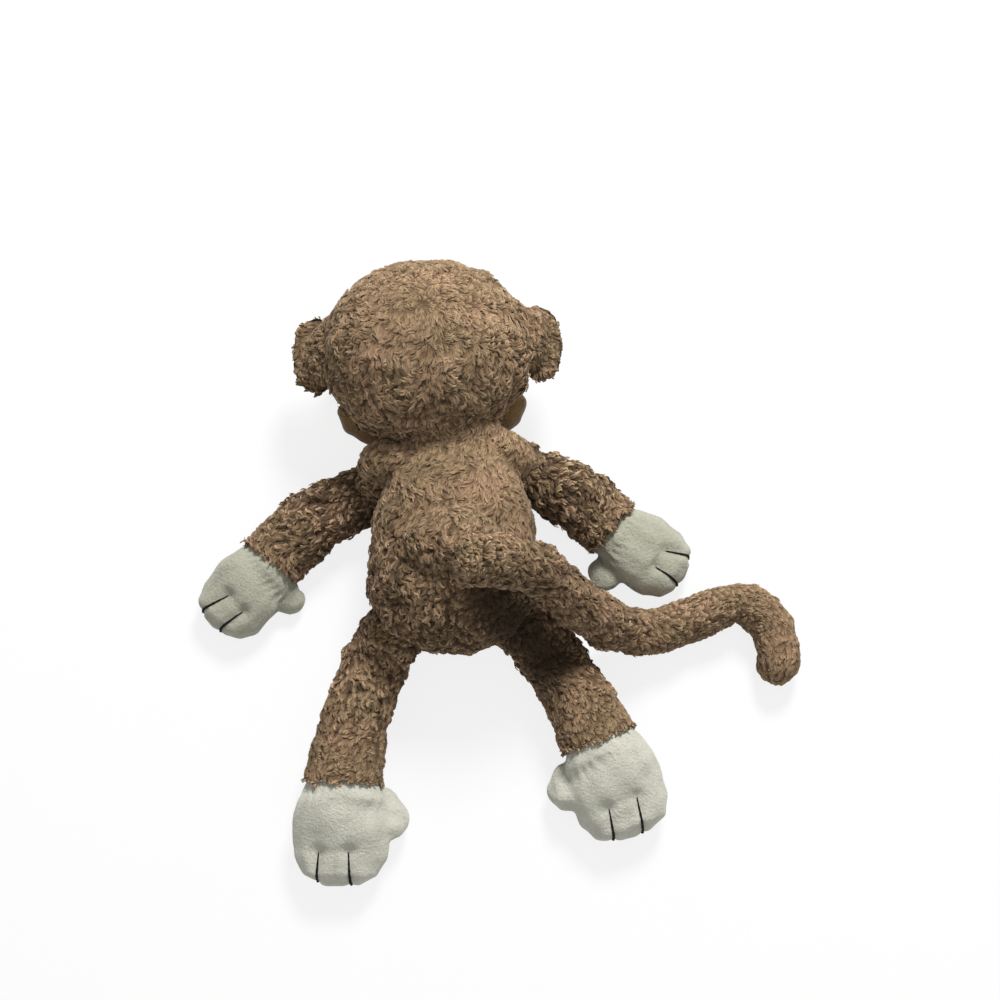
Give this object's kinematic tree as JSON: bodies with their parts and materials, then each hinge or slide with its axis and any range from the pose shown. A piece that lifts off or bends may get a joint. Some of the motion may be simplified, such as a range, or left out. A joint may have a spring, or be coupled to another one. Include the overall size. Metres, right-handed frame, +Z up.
{
  "type": "plush monkey",
  "caption": "Soft stuffed monkey in short curly brown pile, lying face down, with cream mitten hands and feet, rounded ears and a long tail sewn into the middle of its back.",
  "frame": {"origin": "on the surface the toy lies on, under the middle of its belly", "axes": "+Z up out of its back, +Y towards the crown of its head, +X to the side its tail falls to"},
  "size_m": [0.3443, 0.3509, 0.0973],
  "materials": {
    "brown_pile": "short curly pile",
    "cream_cloth": "short nap",
    "face_cloth": "short nap",
    "fibre_fill": "loose fibre",
    "black_plastic": "polished",
    "clear_plastic": "moulded"
  },
  "bodies": {
    "torso": {"torso_back_left": "brown_pile", "torso_back_right": "brown_pile", "belly_panel": "brown_pile", "torso_stuffing": "fibre_fill"},
    "head": {"head_back": "brown_pile", "face_panel": "face_cloth", "head_stuffing": "fibre_fill", "muzzle": "face_cloth", "muzzle_stuffing": "fibre_fill", "eye_left": "black_plastic", "eye_washer_left": "clear_plastic", "eye_right": "black_plastic", "eye_washer_right": "clear_plastic"},
    "ear_left": {"ear_back_left": "brown_pile", "ear_front_left": "face_cloth"},
    "arm_left": {"sleeve_left": "brown_pile", "arm_stuffing_left": "fibre_fill"},
    "hand_left": {"hand_back_left": "cream_cloth", "palm_left": "cream_cloth", "hand_stuffing_left": "fibre_fill"},
    "leg_left": {"leg_left": "brown_pile", "leg_stuffing_left": "fibre_fill"},
    "foot_left": {"foot_top_left": "cream_cloth", "sole_left": "cream_cloth", "foot_stuffing_left": "fibre_fill"},
    "ear_right": {"ear_back_right": "brown_pile", "ear_front_right": "face_cloth"},
    "arm_right": {"sleeve_right": "brown_pile", "arm_stuffing_right": "fibre_fill"},
    "hand_right": {"hand_back_right": "cream_cloth", "palm_right": "cream_cloth", "hand_stuffing_right": "fibre_fill"},
    "leg_right": {"leg_right": "brown_pile", "leg_stuffing_right": "fibre_fill"},
    "foot_right": {"foot_top_right": "cream_cloth", "sole_right": "cream_cloth", "foot_stuffing_right": "fibre_fill"},
    "tail_base": {"tail_base": "brown_pile", "tail_base_stuffing": "fibre_fill"},
    "tail_middle": {"tail_middle": "brown_pile", "tail_middle_stuffing": "fibre_fill"},
    "tail_tip": {"tail_tip": "brown_pile", "tail_tip_stuffing": "fibre_fill"}
  },
  "joints": [
    {"name": "neck", "type": "hinge", "parent": "torso", "child": "head", "pos_m": [-0.00736, 0.064, 0.038], "axis": [0.9816, 0.1908, 0], "range_deg": [-10, 14]},
    {"name": "ear_left", "type": "hinge", "parent": "head", "child": "ear_left", "pos_m": [-0.08077, 0.1126, 0.046], "axis": [-0.1305, 0.9914, 0], "range_deg": [-45, 45], "stiffness_Nm_per_rad": 0.03},
    {"name": "ear_right", "type": "hinge", "parent": "head", "child": "ear_right", "pos_m": [0.03127, 0.12735, 0.046], "axis": [0.1305, -0.9914, 0], "range_deg": [-45, 45], "stiffness_Nm_per_rad": 0.03},
    {"name": "arm_left", "type": "hinge", "parent": "torso", "child": "arm_left", "pos_m": [-0.03664, 0.04899, 0.03], "axis": [0.0494, 0.9988, 0], "range_deg": [-45, 45]},
    {"name": "wrist_left", "type": "hinge", "parent": "arm_left", "child": "hand_left", "pos_m": [-0.10995, -0.00932, 0.014], "axis": [-0.788, 0.6157, 0], "range_deg": [-20, 20]},
    {"name": "arm_right", "type": "hinge", "parent": "torso", "child": "arm_right", "pos_m": [0.02544, 0.05901, 0.03], "axis": [0.3611, -0.9325, 0], "range_deg": [-45, 45]},
    {"name": "wrist_right", "type": "hinge", "parent": "arm_right", "child": "hand_right", "pos_m": [0.09375, 0.02569, 0.014], "axis": [-0.5, -0.866, 0], "range_deg": [-20, 20]},
    {"name": "leg_left", "type": "hinge", "parent": "torso", "child": "leg_left", "pos_m": [-0.03284, -0.03988, 0.026], "axis": [-0.8988, 0.4384, 0], "range_deg": [-64, 10]},
    {"name": "ankle_left", "type": "hinge", "parent": "leg_left", "child": "foot_left", "pos_m": [-0.05217, -0.1349, 0.018], "axis": [-0.9986, -0.0523, 0], "range_deg": [-20, 20]},
    {"name": "leg_right", "type": "hinge", "parent": "torso", "child": "leg_right", "pos_m": [0.04165, -0.02988, 0.026], "axis": [-0.6947, -0.7193, 0], "range_deg": [-64, 10]},
    {"name": "ankle_right", "type": "hinge", "parent": "leg_right", "child": "foot_right", "pos_m": [0.09125, -0.10071, 0.018], "axis": [-0.9135, -0.4067, 0], "range_deg": [-20, 20]},
    {"name": "tail_base", "type": "hinge", "parent": "torso", "child": "tail_base", "pos_m": [-0.00038, -0.008, 0.074], "axis": [0, -1, 0], "range_deg": [0, 95]},
    {"name": "tail_middle", "type": "hinge", "parent": "tail_base", "child": "tail_middle", "pos_m": [0.102, -0.03, 0.02], "axis": [0.0341, -0.9994, 0], "range_deg": [-15, 30]},
    {"name": "tail_tip", "type": "hinge", "parent": "tail_middle", "child": "tail_tip", "pos_m": [0.169, -0.009, 0.0116], "axis": [0, 0, 1], "range_deg": [-30, 30]}
  ]
}
